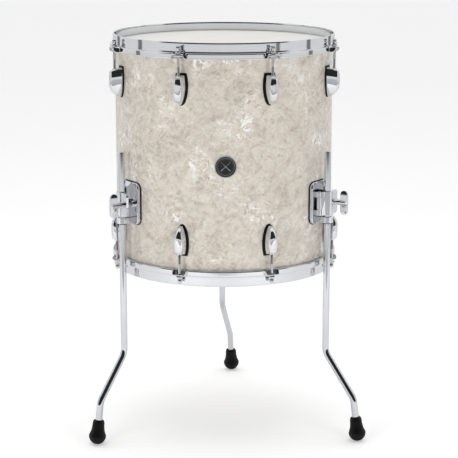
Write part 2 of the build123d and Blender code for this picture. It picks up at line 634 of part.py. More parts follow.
def leg_bush():
    """A nylon sleeve with a flange, turning in the bracket's eye."""
    low = BRACKET_HEIGHT + EYE_LOW
    high = low + EYE_TALL
    outside = LEG_SLEEVE + BUSH_WALL
    body = upright(outside, low, high, x=LEG_CIRCLE_RADIUS)
    body += upright(outside + EYE_WALL * 0.6, low - BUSH_FLANGE, low, x=LEG_CIRCLE_RADIUS)
    return body - upright(LEG_SLEEVE - LEG_CLEARANCE / 2, low - 5, high + 5, x=LEG_CIRCLE_RADIUS)


# ---- legs and feet, made about their own vertical axis with the foot towards +X ----
def leg_end():
    """Where the leg's last straight reaches, and the unit vector along it, in the leg's plane."""
    lean = radians(LEG_END_LEAN)
    return (sin(lean), -cos(lean))


def leg_point(height):
    """The place on the leg's last straight at a height."""
    x, z = leg_end()
    run = (LEG_LOWER_BEND_HEIGHT - height) / -z
    return (LEG_LOWER_BEND_REACH + run * x, height)


def leg():
    end = leg_point(FOOT_WALL)
    path = FilletPolyline(
        (0, 0, LEG_TOP_HEIGHT),
        (0, 0, LEG_UPPER_BEND_HEIGHT),
        (LEG_LOWER_BEND_REACH, 0, LEG_LOWER_BEND_HEIGHT),
        (end[0], 0, end[1]),
        radius=LEG_BEND_RADIUS,
    )
    section = Plane(origin=(0, 0, LEG_TOP_HEIGHT), z_dir=(0, 0, -1)) * Circle(LEG_RADIUS)
    body = sweep(section, path=path)
    return chamfer(body.faces().sort_by(Axis.Z)[-1].edges(), LEG_TIP_CHAMFER)


def rubber_foot():
    """A bell-shaped rubber foot along the leg's last straight, flat where it meets the floor."""
    radius = FOOT_DIAMETER / 2
    neck = FOOT_NECK_DIAMETER / 2
    base = leg_point(radius - FOOT_FLAT_CUT)
    tall = FOOT_HEIGHT - radius
    top = neck - FOOT_SHOULDER
    shoulder, waist = (neck, tall - FOOT_SHOULDER_DROP), (neck + 1, FOOT_WAIST)
    profile = make_face(
        Polyline((0, -radius), (0, tall), (top, tall))
        + ThreePointArc((top, tall), (neck - FOOT_SHOULDER / 4, tall - FOOT_SHOULDER_DROP / 2), shoulder)
        + Line(shoulder, waist)
        + ThreePointArc(waist, ((waist[0] + radius) / 2 - 0.3, FOOT_WAIST / 2), (radius, 0))
        + ThreePointArc((radius, 0), (radius * sin(pi / 4), -radius * cos(pi / 4)), (0, -radius))
    )
    bell = revolve(Plane.XZ * profile, Axis.Z)
    bell = Pos(base[0], 0, base[1]) * Rot(0, -LEG_END_LEAN, 0) * bell
    bell &= block(-FOOT_DIAMETER, 5 * FOOT_DIAMETER, -FOOT_DIAMETER, FOOT_DIAMETER, 0, 3 * FOOT_HEIGHT)
    return bell - leg()


def stand_leg(name, shape):
    """Puts a piece of a leg in its bracket, with its foot turned as it stands."""
    return turn_to(LEG_AZIMUTHS[name], Pos(LEG_CIRCLE_RADIUS, 0, 0) * Rot(0, 0, LEG_TURNS[name]) * shape)


def group(shapes):
    """Equal fasteners as one node of separate solids."""
    return Compound(list(shapes))


def pieces():
    """Every piece by its node's name, about the drum's own axis."""
    made = {"shell": shell(), "pearl_wrap": pearl_wrap(), "badge": badge()}
    film, channel, hoop = head_film(), flesh_hoop(), counter_hoop()
    for name, place in (("batter", lambda s: s), ("resonant", below)):
        made[f"{name}_head_film"] = place(film)
        made[f"{name}_flesh_hoop"] = place(channel)
        made[f"{name}_hoop"] = place(hoop)
        rods = [place(turn_to(a, tension_rod())) for a in LUG_AZIMUTHS]
        made[f"{name}_tension_rods"] = group(rods)
        for number, azimuth in enumerate(LUG_AZIMUTHS, start=1):
            made[f"{name}_lug_{number}"] = place(turn_to(azimuth, lug()))
    for name, one in (("tension_rod_washers", rod_washer()), ("lug_gaskets", lug_gasket()),
                      ("swivel_nuts", swivel_nut())):
        upper = [turn_to(a, one) for a in LUG_AZIMUTHS]
        made[name] = group(upper + [below(shape) for shape in upper])
    made["lug_screws"] = group(lug_screws_of(screw, LUG_SEAT + LUG_SCREW_DEPTH - 0.2))
    made["bracket_screws"] = group(
        bracket_screws_of(screw, BRACKET_GASKET_FACE + BRACKET_SCREW_DEPTH - 0.2)
    )
    gasket = bracket_gasket()
    for height in (BRACKET_HEIGHT - BRACKET_SCREW_TALL / 2, BRACKET_HEIGHT + BRACKET_SCREW_TALL / 2):
        for swing in (-BRACKET_SCREW_SWING, BRACKET_SCREW_SWING):
            gasket -= Rot(0, 0, swing) * screw_hole(height, BRACKET_GASKET_FACE + 1)
    for name, one in (("bracket_gaskets", gasket), ("gate_hinge_pins", hinge_pin()),
                      ("clamp_studs", clamp_stud())):
        made[name] = group(turn_to(a, one) for a in LEG_AZIMUTHS.values())
    each = {"bracket_base": bracket_base(), "clamp_gate": gate(), "clamp_washer": clamp_washer(),
            "wing_nut": wing_nut(), "leg_bush": leg_bush()}
    for side, azimuth in LEG_AZIMUTHS.items():
        for name, shape in each.items():
            made[f"{side}_{name}"] = turn_to(azimuth, shape)
        made[f"{side}_leg"] = stand_leg(side, leg())
        made[f"{side}_rubber_foot"] = stand_leg(side, rubber_foot())
    return made


def origin_shift(made):
    """From the drum's axis on the floor to the middle of the whole drum's box."""
    box = Compound(list(made.values())).bounding_box()
    return Pos(-(box.min.X + box.max.X) / 2, -(box.min.Y + box.max.Y) / 2, -box.min.Z)


def main():
    os.makedirs("parts", exist_ok=True)
    made = pieces()
    shift = origin_shift(made)
    for name, shape in made.items():
        export_step(shift * shape, f"parts/{name}.step")


if __name__ == "__main__":
    main()
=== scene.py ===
"""Looks of the floor tom: pearl wrap, chrome hardware, heads and rubber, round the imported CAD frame."""

import json
import math

import bmesh
import bpy
from mathutils import Matrix, Vector


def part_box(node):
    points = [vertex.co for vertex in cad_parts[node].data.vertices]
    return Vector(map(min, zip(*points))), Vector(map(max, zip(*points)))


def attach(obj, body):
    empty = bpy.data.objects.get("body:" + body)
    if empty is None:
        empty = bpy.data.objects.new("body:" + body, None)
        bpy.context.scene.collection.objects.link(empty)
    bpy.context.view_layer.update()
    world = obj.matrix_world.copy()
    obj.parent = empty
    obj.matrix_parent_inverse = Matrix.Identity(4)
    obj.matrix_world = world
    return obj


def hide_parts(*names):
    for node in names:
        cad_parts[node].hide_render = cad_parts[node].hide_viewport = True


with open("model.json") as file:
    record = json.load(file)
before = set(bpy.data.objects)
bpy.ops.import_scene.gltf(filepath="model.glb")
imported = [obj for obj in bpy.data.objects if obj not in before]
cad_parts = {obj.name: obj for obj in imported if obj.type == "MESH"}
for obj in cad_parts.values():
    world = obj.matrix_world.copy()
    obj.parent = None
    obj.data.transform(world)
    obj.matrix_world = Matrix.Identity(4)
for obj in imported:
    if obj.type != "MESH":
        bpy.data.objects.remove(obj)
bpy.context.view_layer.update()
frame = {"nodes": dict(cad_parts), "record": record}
NODES = frame["nodes"]
SIDES = ("left", "right", "rear")

# ---- sizes of the frame, in metres ----
MM = 0.001
wrap_low, wrap_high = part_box("pearl_wrap")
shell_low, shell_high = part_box("shell")
hoop_low, hoop_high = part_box("batter_hoop")
AXIS = Vector(((wrap_low.x + wrap_high.x) / 2, (wrap_low.y + wrap_high.y) / 2, 0))
MID_HEIGHT = (shell_low.z + shell_high.z) / 2
SHELL_TOP = shell_high.z
WRAP_RADIUS = (wrap_high.x - wrap_low.x) / 2
HOOP_RIM = hoop_high.z
HOOP_LOW = hoop_low.z
SKIRT_OUTSIDE = (hoop_high.x - hoop_low.x) / 2

# ---- sizes shared with the part's own source ----
FILM_THICKNESS = 0.3 * MM
FILM_GAP = 0.15 * MM  # between the wrap and the film's collar
FLESH_HOOP_WIDTH = 5.0 * MM
FLESH_HOOP_HEIGHT = 8.0 * MM
HOOP_METAL = 3.0 * MM
HOOP_WALL = 207.35 * MM  # outside of the rim wall
HOOP_STEP = HOOP_RIM - 18.3 * MM
EAR_TIP = 223.5 * MM
ROD_CIRCLE = 217.4 * MM
LUG_AZIMUTHS = [22.5 + 45 * n for n in range(8)]
LUG_SEAT = WRAP_RADIUS + 2.0 * MM
LUG_TIP = MID_HEIGHT + 135.7 * MM - 27.0 * MM
LUG_LENGTH = 54.0 * MM
LUG_BELLY = 34.0 * MM  # from the tip to the widest place
LEG_AZIMUTHS = {"left": -57.25, "right": 57.25, "rear": 180.0}
LEG_TURNS = {"left": 13.8, "right": -4.0, "rear": -16.3}  # each leg's plane, turned in its bracket
LEG_CIRCLE = 224.0 * MM
LEG_TOP = 541.0 * MM
LEG_RADIUS = 6.35 * MM
UPPER_BEND = 160.0 * MM
LOWER_BEND = 80.0 * MM
BEND_REACH = 63.0 * MM
BEND_RADIUS = 30.0 * MM
END_LEAN = math.radians(8.0)
FOOT_WALL = 9.0 * MM

# ---- sizes of this model alone ----
LUG_DEPTH = 22.0 * MM
LUG_SPINE = 23.0 * MM  # from the tip to where the spine is at its full depth
LUG_END_SLOPE = 6.0 * MM
WRAP_SEAM = 196.0  # azimuth of the lapped ends
WRAP_LAP = 5.0  # degrees

# ---- camera: distance from the drum's axis, height above the floor and angles ----
CAMERA_DISTANCE = 3.107
CAMERA_HEIGHT = 1.047
CAMERA_AZIMUTH = -0.9
CAMERA_PITCH = 12.3
CAMERA_YAW = 0.18
CAMERA_LENS = 130.3
SENSOR = 36.0


# ======================================================================= node helpers
class Shader:
    """A material's node tree, with short calls for the nodes used here."""

    def __init__(self, name):
        self.material = bpy.data.materials.new(name)
        self.material.use_nodes = True
        self.tree = self.material.node_tree
        self.tree.nodes.clear()
        self.out = self.add("ShaderNodeOutputMaterial")

    def add(self, kind, inputs=None, **settings):
        node = self.tree.nodes.new(kind)
        for key, value in settings.items():
            setattr(node, key, value)
        for key, value in (inputs or {}).items():
            self.put(node.inputs[key], value)
        return node

    def put(self, socket, value):
        """Links a socket or node to an input, or sets the input's own value."""
        if isinstance(value, bpy.types.NodeSocket):
            self.tree.links.new(value, socket)
        elif isinstance(value, bpy.types.Node):
            self.tree.links.new(value.outputs[0], socket)
        else:
            socket.default_value = value

    def math(self, operation, *values, clamp=False):
        node = self.add("ShaderNodeMath", operation=operation, use_clamp=clamp)
        for socket, value in zip(node.inputs, values):
            self.put(socket, value)
        return node.outputs[0]

    def mix(self, factor, a, b, blend="MIX"):
        node = self.add("ShaderNodeMix", data_type="RGBA", blend_type=blend)
        self.put(node.inputs["Factor"], factor)
        self.put(node.inputs["A"], a)
        self.put(node.inputs["B"], b)
        return node.outputs["Result"]

    def ramp(self, factor, *stops):
        """A colour ramp from (position, colour or grey) stops."""
        node = self.add("ShaderNodeValToRGB", {"Fac": factor})
        elements = node.color_ramp.elements
        while len(elements) < len(stops):
            elements.new(0.5)
        for element, (position, colour) in zip(elements, stops):
            element.position = position
            element.color = colour if isinstance(colour, tuple) else (colour, colour, colour, 1)
        return node.outputs["Color"]

    def noise(self, scale, vector=None, detail=3.0, roughness=0.5):
        inputs = {"Scale": scale, "Detail": detail, "Roughness": roughness}
        if vector is not None:
            inputs["Vector"] = vector
        return self.add("ShaderNodeTexNoise", inputs)

    def place(self):
        """The object's own coordinates, in metres."""
        return self.add("ShaderNodeTexCoord").outputs["Object"]

    def stretch(self, vector, scale=(1, 1, 1), turn=(0, 0, 0), shift=(0, 0, 0)):
        return self.add("ShaderNodeMapping", {"Vector": vector, "Location": shift,
                                              "Rotation": turn, "Scale": scale}).outputs[0]

    def bump(self, height, strength, distance):
        return self.add("ShaderNodeBump", {"Height": height, "Strength": strength,
                                           "Distance": distance}).outputs[0]

    def finish(self, **inputs):
        """The Principled shader with these inputs, where __ stands for a space."""
        shader = self.add("ShaderNodeBsdfPrincipled")
        for key, value in inputs.items():
            self.put(shader.inputs[key.replace("__", " ")], value)
        self.put(self.out.inputs["Surface"], shader.outputs[0])
        return self.material


def srgb(red, green, blue):
    """An 8-bit display colour as the linear colour that shaders take."""
    def linear(value):
        value /= 255
        return value / 12.92 if value <= 0.04045 else ((value + 0.055) / 1.055) ** 2.4

    return (linear(red), linear(green), linear(blue), 1)


# ======================================================================= materials
def chrome(name, tint=(226, 227, 230), rough=(0.035, 0.11), grain=90.0):
    """Bright plate with faint polishing haze and fingerprints that only roughness shows."""
    s = Shader(name)
    place = s.place()
    haze = s.noise(grain * 0.25, place, detail=4.0)
    fine = s.noise(grain * 12, place, detail=2.0)
    mixed = s.math("MULTIPLY_ADD", fine.outputs["Fac"], 0.35, s.math("MULTIPLY", haze.outputs["Fac"], 0.75))
    roughness = s.ramp(mixed, (0.35, rough[0]), (0.75, rough[1]))
    dark = tuple(0.93 * c for c in srgb(*tint)[:3]) + (1,)
    colour = s.ramp(haze.outputs["Fac"], (0.3, dark), (0.7, srgb(*tint)))
    wave = s.noise(grain * 0.12, place, detail=1.0)
    return s.finish(Base__Color=colour, Metallic=1.0, Roughness=roughness,
                    Normal=s.bump(wave.outputs["Fac"], 0.05, 0.002))


def pearl_wrap():
    """White pearl celluloid: crumpled shards at random angles, with painted highlights along their edges and
    painted glints in the colour.
    """
    s = Shader("pearl_wrap")
    place = s.stretch(s.place(), shift=(-AXIS.x, -AXIS.y, 0))
    split = s.add("ShaderNodeSeparateXYZ", {"Vector": place})
    angle = s.math("ARCTAN2", split.outputs["X"], s.math("MULTIPLY", split.outputs["Y"], -1.0))
    sheet = s.add("ShaderNodeCombineXYZ", {"X": s.math("MULTIPLY", angle, WRAP_RADIUS),
                                           "Y": split.outputs["Z"]}).outputs[0]

    def bent(scale, amount):
        """The sheet's coordinates, pushed about by noise."""
        warp = s.noise(scale, sheet, detail=2.0)
        bend = s.add("ShaderNodeVectorMath", operation="MULTIPLY_ADD")
        s.put(bend.inputs[0], warp.outputs["Color"])
        s.put(bend.inputs[1], (amount, amount, 0.0))
        s.put(bend.inputs[2], sheet)
        return bend.outputs[0]

    wide, narrow = bent(24.0, 0.03), bent(60.0, 0.007)

    def shards(base, turn, width, long, seed, feature="F1"):
        """Cells about width x long metres, stretched along a direction."""
        vector = s.add("ShaderNodeMapping", {"Vector": base, "Location": (seed, seed * 1.7, 0),
                                             "Rotation": (0, 0, math.radians(turn)),
                                             "Scale": (long, width, 1)}, vector_type="TEXTURE").outputs[0]
        return s.add("ShaderNodeTexVoronoi", {"Vector": vector, "Scale": 1.0, "Randomness": 1.0},
                     voronoi_dimensions="2D", feature=feature)

    lean_cells = (-40, 0.006, 0.015, 7.7)
    facets = []
    for turn, width, long, seed in ((25, 0.0075, 0.018, 3.1), lean_cells, (75, 0.005, 0.012, 2.3),
                                    (-12, 0.0035, 0.009, 5.9), (50, 0.0028, 0.007, 9.2)):
        cells = shards(wide, turn, width, long, seed)
        facets.append(s.add("ShaderNodeSeparateColor", {"Color": cells.outputs["Color"]}))
    total = 0.0
    for facet, weight in zip(facets, (0.24, 0.22, 0.2, 0.18, 0.16)):
        total = s.math("MULTIPLY_ADD", facet.outputs["Red"], weight, total)

    lively = s.noise(13.0, sheet, detail=3.0, roughness=0.6).outputs["Fac"]
    # light lines along the shard edges: partly the sheet's creases (also used as bump) and partly painted
    # highlight; the streaks are painted highlight
    crease_and_highlight, painted_streak_mask = 0.0, 0.0
    for turn, width, long, seed, sharp in ((35, 0.0065, 0.020, 1.3, 0.035), (-30, 0.0055, 0.018, 4.1, 0.04),
                                           (65, 0.006, 0.019, 6.6, 0.03), (-62, 0.0065, 0.017, 8.8, 0.035),
                                           (8, 0.0045, 0.013, 11.4, 0.04)):
        edge = shards(narrow, turn, width, long, seed, "DISTANCE_TO_EDGE").outputs["Distance"]
        line = s.ramp(edge, (0.0, 1.0), (sharp, 0.35), (sharp * 2.6, 0.0))
        part = s.noise(30.0 + seed, sheet, detail=2.0).outputs["Fac"]
        crease_and_highlight = s.math("MAXIMUM", crease_and_highlight, s.math("MULTIPLY", line, s.ramp(part, (0.45, 0.0), (0.58, 1.0))))
        # painted highlight: thin near-white streaks along broken stretches of the shard edges
        broken = s.noise(75.0 + seed, sheet, detail=1.0).outputs["Fac"]
        painted_streak_part = s.math("MULTIPLY", s.ramp(edge, (0.0, 1.0), (sharp * 1.6, 0.0)),
                        s.ramp(broken, (0.56, 0.0), (0.64, 1.0)))
        painted_streak_mask = s.math("MAXIMUM", painted_streak_mask, painted_streak_part)
    painted_streak_mask = s.math("MULTIPLY", painted_streak_mask, s.ramp(lively, (0.46, 0.12), (0.6, 1.0)))

    # painted glints: small flakes in clustered patches, painted into the colour as highlights
    painted_glint_patch = s.ramp(lively, (0.53, 0.0), (0.63, 1.0))
    painted_glint_mask = 0.0
    for facet in facets[2:]:
        painted_glint_mask = s.math("MAXIMUM", painted_glint_mask, s.ramp(facet.outputs["Green"], (0.76, 0.0), (0.86, 1.0)))
    painted_glint_mask = s.math("MULTIPLY", painted_glint_mask, s.ramp(facets[1].outputs["Blue"], (0.3, 0.0), (0.55, 1.0)))
    painted_glint_mask = s.math("MULTIPLY", painted_glint_mask, painted_glint_patch)

    clouds = s.noise(8.0, sheet, detail=4.0, roughness=0.55).outputs["Fac"]
    tone = s.math("MULTIPLY_ADD", clouds, 0.5, s.math("MULTIPLY", total, 0.62))
    base = s.ramp(tone, (0.36, srgb(186, 175, 162)), (0.48, srgb(204, 195, 182)),
                  (0.62, srgb(216, 208, 196)), (0.8, srgb(228, 222, 212)))
    # partly painted highlight: the colour lightened towards 238,234,225 along the creases
    colour = s.mix(s.math("MULTIPLY", crease_and_highlight, 0.5), base, srgb(238, 234, 225))
    # painted highlights: glints and streaks mixed towards near-white 254,253,247
    colour = s.mix(s.math("MAXIMUM", s.math("MULTIPLY", painted_glint_mask, 0.9), s.math("MULTIPLY", painted_streak_mask, 0.95)),
                   colour, srgb(254, 253, 247))
    tilt = s.add("ShaderNodeVectorMath", operation="SUBTRACT")
    s.put(tilt.inputs[0], shards(wide, *lean_cells).outputs["Color"])
    s.put(tilt.inputs[1], (0.5, 0.5, 0.5))
    lean = s.add("ShaderNodeVectorMath", operation="MULTIPLY_ADD")
    s.put(lean.inputs[0], tilt.outputs[0])
    s.put(lean.inputs[1], (0.22, 0.22, 0.22))
    s.put(lean.inputs[2], s.bump(s.math("ADD", crease_and_highlight, painted_glint_mask), 0.2, 0.0008))
    normal = s.add("ShaderNodeVectorMath", {0: lean.outputs[0]}, operation="NORMALIZE")
    return s.finish(Base__Color=colour, Metallic=0.25,
                    Roughness=s.ramp(total, (0.3, 0.46), (0.7, 0.32)), Normal=normal.outputs[0],
                    Coat__Weight=0.5, Coat__Roughness=0.05, Specular__IOR__Level=0.4)


def coated_film():
    """Sprayed white coating: a fine grain with faint mottling."""
    s = Shader("coated_film")
    place = s.place()
    grain = s.noise(1400.0, place, detail=2.0)
    cloud = s.noise(16.0, place, detail=3.0)
    colour = s.ramp(cloud.outputs["Fac"], (0.3, srgb(247, 246, 241)), (0.7, srgb(252, 251, 247)))
    return s.finish(Base__Color=colour, Roughness=s.ramp(grain.outputs["Fac"], (0.3, 0.55), (0.7, 0.8)),
                    Normal=s.bump(grain.outputs["Fac"], 0.35, 0.0003))


def clear_film():
    """Clear polyester with faint scuffs."""
    s = Shader("clear_film")
    scuff = s.noise(220.0, s.stretch(s.place(), (1, 6, 1)), detail=4.0)
    return s.finish(Base__Color=srgb(244, 246, 246), IOR=1.2, Transmission__Weight=0.94,
                    Roughness=s.ramp(scuff.outputs["Fac"], (0.35, 0.02), (0.8, 0.12)))


def rubber(name, colour=(20, 20, 21), wear=(52, 51, 50), scale=700.0):
    """Moulded black rubber with a matt grain and dusty patches."""
    s = Shader(name)
    place = s.place()
    grain = s.noise(scale, place, detail=3.0)
    dust = s.noise(35.0, place, detail=5.0, roughness=0.65)
    tone = s.ramp(dust.outputs["Fac"], (0.5, srgb(*colour)), (0.85, srgb(*wear)))
    roughness = s.ramp(dust.outputs["Fac"], (0.3, 0.42), (0.75, 0.68))
    return s.finish(Base__Color=tone, Roughness=roughness, Specular__IOR__Level=0.25,
                    Normal=s.bump(grain.outputs["Fac"], 0.25, 0.0004))


def brushed(name, tint, along=(1, 1, 40), metal=1.0, rough=(0.22, 0.42)):
    """Metal with fine lines along one way."""
    s = Shader(name)
    lines = s.noise(260.0, s.stretch(s.place(), along), detail=3.0)
    low = tuple(0.8 * c for c in srgb(*tint)[:3]) + (1,)
    return s.finish(Base__Color=s.ramp(lines.outputs["Fac"], (0.3, low), (0.7, srgb(*tint))),
                    Metallic=metal, Roughness=s.ramp(lines.outputs["Fac"], (0.3, rough[0]), (0.7, rough[1])),
                    Normal=s.bump(lines.outputs["Fac"], 0.15, 0.0003))


def maple():
    """Clear-sealed maple: long grain round the shell and stacked plies on its edges."""
    s = Shader("maple")
    place = s.stretch(s.place(), shift=(-AXIS.x, -AXIS.y, 0))
    split = s.add("ShaderNodeSeparateXYZ", {"Vector": place})
    angle = s.math("ARCTAN2", split.outputs["X"], s.math("MULTIPLY", split.outputs["Y"], -1.0))
    flat = s.add("ShaderNodeCombineXYZ", {"X": s.math("MULTIPLY", angle, 0.2),
                                          "Y": split.outputs["Z"]}).outputs[0]
    grain = s.noise(60.0, s.stretch(flat, (0.35, 6.0, 1)), detail=6.0, roughness=0.6)
    figure = s.noise(12.0, s.stretch(flat, (4.0, 1.0, 1)), detail=2.0)
    wood = s.ramp(grain.outputs["Fac"], (0.30, srgb(186, 146, 100)), (0.5, srgb(212, 176, 130)),
                  (0.72, srgb(226, 195, 152)))
    wood = s.mix(s.math("MULTIPLY", figure.outputs["Fac"], 0.25), wood, srgb(238, 214, 176))
    flat_place = s.add("ShaderNodeCombineXYZ", {"X": split.outputs["X"], "Y": split.outputs["Y"]})
    radius = s.add("ShaderNodeVectorMath", {0: flat_place}, operation="LENGTH").outputs["Value"]
    plies = s.math("SINE", s.math("MULTIPLY", radius, 2 * math.pi / 0.0023))
    normal = s.add("ShaderNodeSeparateXYZ", {"Vector": s.add("ShaderNodeNewGeometry").outputs["Normal"]})
    edge = s.math("MULTIPLY", s.math("ABSOLUTE", normal.outputs["Z"]), s.ramp(plies, (0.1, 0.55), (0.6, 0.0)))
    colour = s.mix(edge, wood, srgb(150, 108, 66))
    return s.finish(Base__Color=colour, Roughness=s.ramp(grain.outputs["Fac"], (0.3, 0.5), (0.7, 0.36)),
                    Normal=s.bump(grain.outputs["Fac"], 0.15, 0.0004), Coat__Weight=0.25)


def moulded(name, colour, rough=(0.35, 0.5)):
    """Moulded plastic or enamel with a faint orange-peel."""
    s = Shader(name)
    peel = s.noise(420.0, s.place(), detail=2.0)
    low = tuple(0.85 * c for c in srgb(*colour)[:3]) + (1,)
    return s.finish(Base__Color=s.ramp(peel.outputs["Fac"], (0.3, low), (0.7, srgb(*colour))),
                    Roughness=s.ramp(peel.outputs["Fac"], (0.3, rough[0]), (0.7, rough[1])),
                    Normal=s.bump(peel.outputs["Fac"], 0.1, 0.0003))


MATERIALS = {
    "maple_shell": maple(),
    "pearl_wrap": pearl_wrap(),
    "badge_enamel": moulded("badge_enamel", (22, 22, 24), (0.12, 0.22)),
    "coated_film": coated_film(),
    "clear_film": clear_film(),
    "flesh_hoop_aluminium": brushed("flesh_hoop_aluminium", (205, 206, 208), (6, 6, 60)),
    "rod_chrome": chrome("rod_chrome", (214, 214, 216), (0.06, 0.16)),
    "hoop_chrome": chrome("hoop_chrome", (228, 230, 233), (0.03, 0.09), 60.0),
    "lug_chrome": chrome("lug_chrome", (232, 233, 236), (0.02, 0.07)),
    # gasket black, deepened partly as painted shadow of the gap round each lug
    "gasket_rubber": rubber("gasket_rubber", (7, 7, 7), (16, 16, 16)),
    "nut_brass": brushed("nut_brass", (190, 160, 96), (60, 1, 1)),
    "screw_steel": brushed("screw_steel", (170, 171, 174), (1, 1, 1)),
    "pin_steel": brushed("pin_steel", (190, 191, 194), (1, 1, 30)),
    "bush_nylon": moulded("bush_nylon", (26, 26, 27)),
    "foot_rubber": rubber("foot_rubber", (7, 7, 8), (18, 18, 18)),
    "leg_chrome": chrome("leg_chrome", (222, 224, 228), (0.04, 0.11)),
    "wing_chrome": chrome("wing_chrome", (230, 231, 234), (0.03, 0.09)),
    "bracket_chrome": chrome("bracket_chrome", (226, 227, 231), (0.03, 0.10)),
}
SLOT_OF = {part["node"]: part["material_slot"] for part in frame["record"]["subparts"]}


def paint(piece, slot):
    piece.data.materials.clear()
    piece.data.materials.append(MATERIALS[slot])
    return piece


for node_name, node in NODES.items():
    material = MATERIALS[SLOT_OF[node_name]]
    for socket in node.material_slots:
        socket.material = material


# ======================================================================= building pieces
def spot(azimuth, out, across, up):
    """A point from its radius outwards, its distance round the drum and its height."""
    turn = math.radians(azimuth)
    return Vector((AXIS.x + out * math.sin(turn) + across * math.cos(turn),
                   AXIS.y - out * math.cos(turn) + across * math.sin(turn), up))


def flip(low_end, up):
    """A height on the upper half, or its mirror image on the lower half."""
    return 2 * MID_HEIGHT - up if low_end else up


def ease(value):
    value = min(max(value, 0.0), 1.0)
    return value * value * (3 - 2 * value)


def arc(centre_x, centre_y, radius, start, end, steps):
    """Points of an arc, angles in degrees from +x, both ends included."""
    points = []
    for step in range(steps + 1):
        turn = math.radians(start + (end - start) * step / steps)
        points.append((centre_x + radius * math.cos(turn), centre_y + radius * math.sin(turn)))
    return points


class Build:
    """Collects rings of points into one mesh."""

    def __init__(self):
        self.points, self.faces = [], []

    def ring(self, points):
        first = len(self.points)
        self.points.extend(points)
        return list(range(first, len(self.points)))

    def skin(self, rings, around=True, along=False, caps=False):
        """Quads between rings of equally many points; caps close the first and last ring."""
        rows = [self.ring(points) for points in rings]
        count = len(rows[0])
        pairs = list(zip(rows, rows[1:])) + ([(rows[-1], rows[0])] if along else [])
        for a, b in pairs:
            for i in range(count if around else count - 1):
                j = (i + 1) % count
                self.faces.append((a[i], a[j], b[j], b[i]))
        if caps:
            self.faces.append(tuple(reversed(rows[0])))
            self.faces.append(tuple(rows[-1]))
        return rows

    def finish(self, name, slot, body, *replaces, sharp=35.0):
        mesh = bpy.data.meshes.new(name)
        mesh.from_pydata(self.points, [], self.faces)
        work = bmesh.new()
        work.from_mesh(mesh)
        bmesh.ops.remove_doubles(work, verts=work.verts, dist=1e-6)
        bmesh.ops.recalc_face_normals(work, faces=work.faces)
        work.to_mesh(mesh)
        work.free()
        mesh.polygons.foreach_set("use_smooth", [True] * len(mesh.polygons))
        mesh.set_sharp_from_angle(angle=math.radians(sharp))
        piece = bpy.data.objects.new(name, mesh)
        bpy.context.scene.collection.objects.link(piece)
        paint(piece, slot)
        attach(piece, body)
        if replaces:
            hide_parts(*replaces)
        return piece


def lathe(outline, count, place):
    """A closed outline of (radius, height) turned about an axis, as rings of points."""
    build_rings = []
    for step in range(count):
        turn = 2 * math.pi * step / count
        build_rings.append([place(radius, turn, height) for radius, height in outline])
    return build_rings


def about_drum(radius, turn, height):
    return spot(math.degrees(turn), radius, 0, height)


def about_rod(azimuth):
    """A place function for lathe, about the axis of the key rod at an azimuth."""
    def place(radius, turn, height):
        return spot(azimuth, ROD_CIRCLE + radius * math.cos(turn), radius * math.sin(turn), height)

    return place


def polish(name, node, slot, body, width=0.0004, segments=2, angle=28.0):
    """A CAD piece with its edges rounded over, as casting and tumbling leave them."""
    mesh = NODES[node].data.copy()
    work = bmesh.new()
    work.from_mesh(mesh)
    bmesh.ops.remove_doubles(work, verts=work.verts, dist=2e-6)
    bmesh.ops.dissolve_limit(work, angle_limit=math.radians(0.6), verts=work.verts, edges=work.edges)
    work.to_mesh(mesh)
    work.free()
    piece = bpy.data.objects.new(name, mesh)
    bpy.context.scene.collection.objects.link(piece)
    paint(piece, slot)
    mesh.polygons.foreach_set("use_smooth", [True] * len(mesh.polygons))
    mesh.set_sharp_from_angle(angle=math.radians(angle))
    bevel = piece.modifiers.new("rounding", "BEVEL")
    bevel.width = width
    bevel.segments = segments
    bevel.limit_method = "ANGLE"
    bevel.angle_limit = math.radians(angle)
    bevel.use_clamp_overlap = True
    bevel.harden_normals = True
    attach(piece, body)
    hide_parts(node)
    return piece


# ======================================================================= hoops and heads
def hoop_section(flare):
    """The pressed section with its flange turned down (0) or out into an ear (1)."""
    wall, metal, step = HOOP_WALL, HOOP_METAL, HOOP_STEP
    inside = wall - metal
    turn = math.radians(90 * (1 - flare))
    bend = 1.8 * MM
    cx, cz = SKIRT_OUTSIDE - bend, step - bend
    down = cz - HOOP_LOW
    length = down + (EAR_TIP - cx - down) * math.cos(turn) ** 2
    heading = (math.cos(turn), -math.sin(turn))
    side = (math.sin(turn), math.cos(turn))
    points = arc(inside + 1.3 * MM, HOOP_RIM - 1.3 * MM, 1.3 * MM, 180, 90, 4)
    points += arc(wall - 0.5 * MM, HOOP_RIM - 0.5 * MM, 0.5 * MM, 90, 0, 4)
    points += [(wall, HOOP_RIM - 4 * MM), (wall, step + 4 * MM)]
    points += arc(wall + 0.3 * MM, step + 0.3 * MM, 0.3 * MM, 180, 270, 4)
    for part in range(7):
        swing = turn * part / 6
        points.append((cx + bend * math.sin(swing), cz + bend * math.cos(swing)))
    outer = (cx + bend * side[0], cz + bend * side[1])
    edge = 0.9 * MM
    curl_start = length * 0.35
    for run, lift in ((length * 0.2, 0), (curl_start, 0), (length * 0.55, 0), (length * 0.75, 0),
                      (length - edge, 0), (length - edge * 0.3, -edge * 0.3), (length, -edge),
                      (length, -metal + edge), (length - edge * 0.3, -metal + edge * 0.3),
                      (length - edge, -metal), (length * 0.7, -metal), (length * 0.5, -metal)):
        curl = 2.3 * MM * flare * (max(run - curl_start, 0) / (length - curl_start)) ** 2
        points.append((outer[0] + heading[0] * run + side[0] * lift,
                       outer[1] + heading[1] * run + side[1] * lift - curl))
    points.append((cx - 0.2 * MM * side[0] + heading[0] * 0.5 * MM,
                   cz - 0.2 * MM * side[1] + heading[1] * 0.5 * MM))
    seat = step - metal
    points += [(cx - 1.2 * MM, seat), (inside + 1.2 * MM, seat), (inside + 0.4 * MM, seat + 0.3 * MM),
               (inside, seat + 1.2 * MM), (inside, HOOP_RIM - 4 * MM)]
    return points


